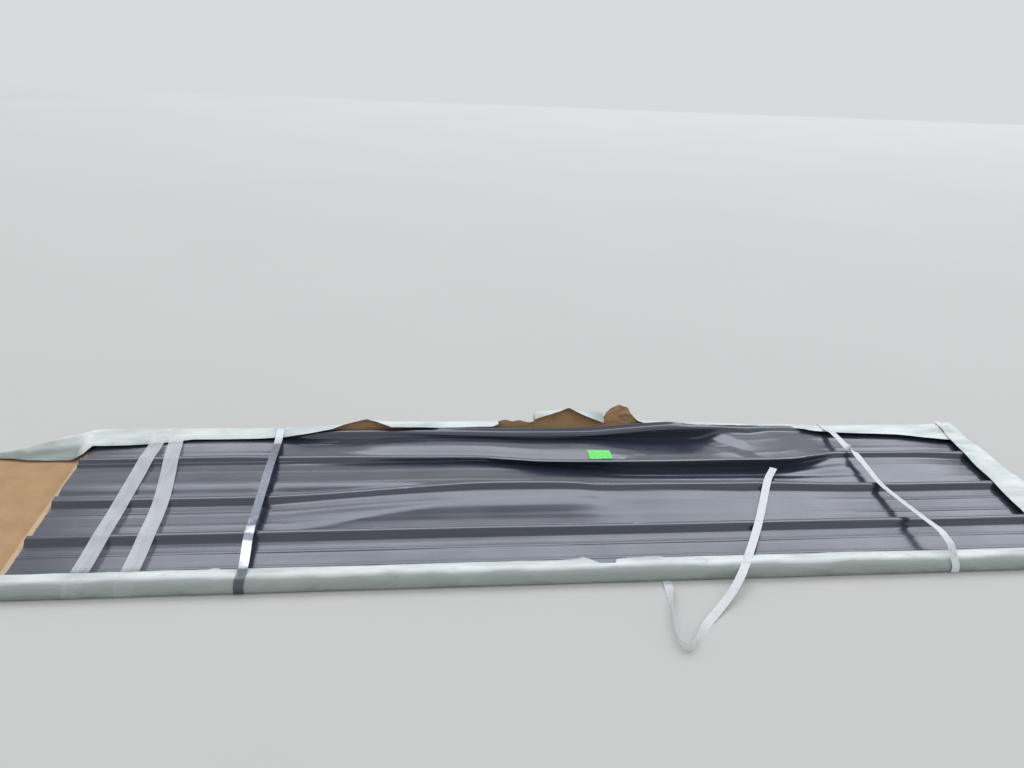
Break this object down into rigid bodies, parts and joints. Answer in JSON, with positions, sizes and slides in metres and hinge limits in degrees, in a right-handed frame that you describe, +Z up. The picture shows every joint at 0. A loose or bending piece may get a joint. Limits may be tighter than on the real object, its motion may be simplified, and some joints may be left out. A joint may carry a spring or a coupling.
{
  "type": "bundle of ribbed metal roofing sheets",
  "caption": "Thin bundle of charcoal ribbed steel roofing sheets lying flat, ribs up, in a torn paper wrap with straps, tape bands and a bare label.",
  "frame": {"origin": "on the underside, midway along the sheets and midway across them", "axes": "+X along the sheets' length, +Y to the far side, +Z up, ribs facing up"},
  "size_m": [3.6962, 1.2971, 0.1202],
  "materials": {
    "sheet_paint": "satin",
    "wrap_paper": "coated, satin",
    "film_tape": "translucent film",
    "strap_steel": "galvanized",
    "seal_steel": "dull",
    "white_strap": "white paint",
    "label_paper": "bare fluorescent sticker"
  },
  "bodies": {
    "root": {"top_sheet": "sheet_paint", "lower_sheets": "sheet_paint", "paper_wrap": "wrap_paper", "tape_band_left": "film_tape", "tape_band_right": "film_tape", "steel_strap": "strap_steel", "strap_seal": "seal_steel", "slack_strap": "white_strap", "broken_strap": "white_strap", "label": "label_paper"}
  },
  "joints": []
}
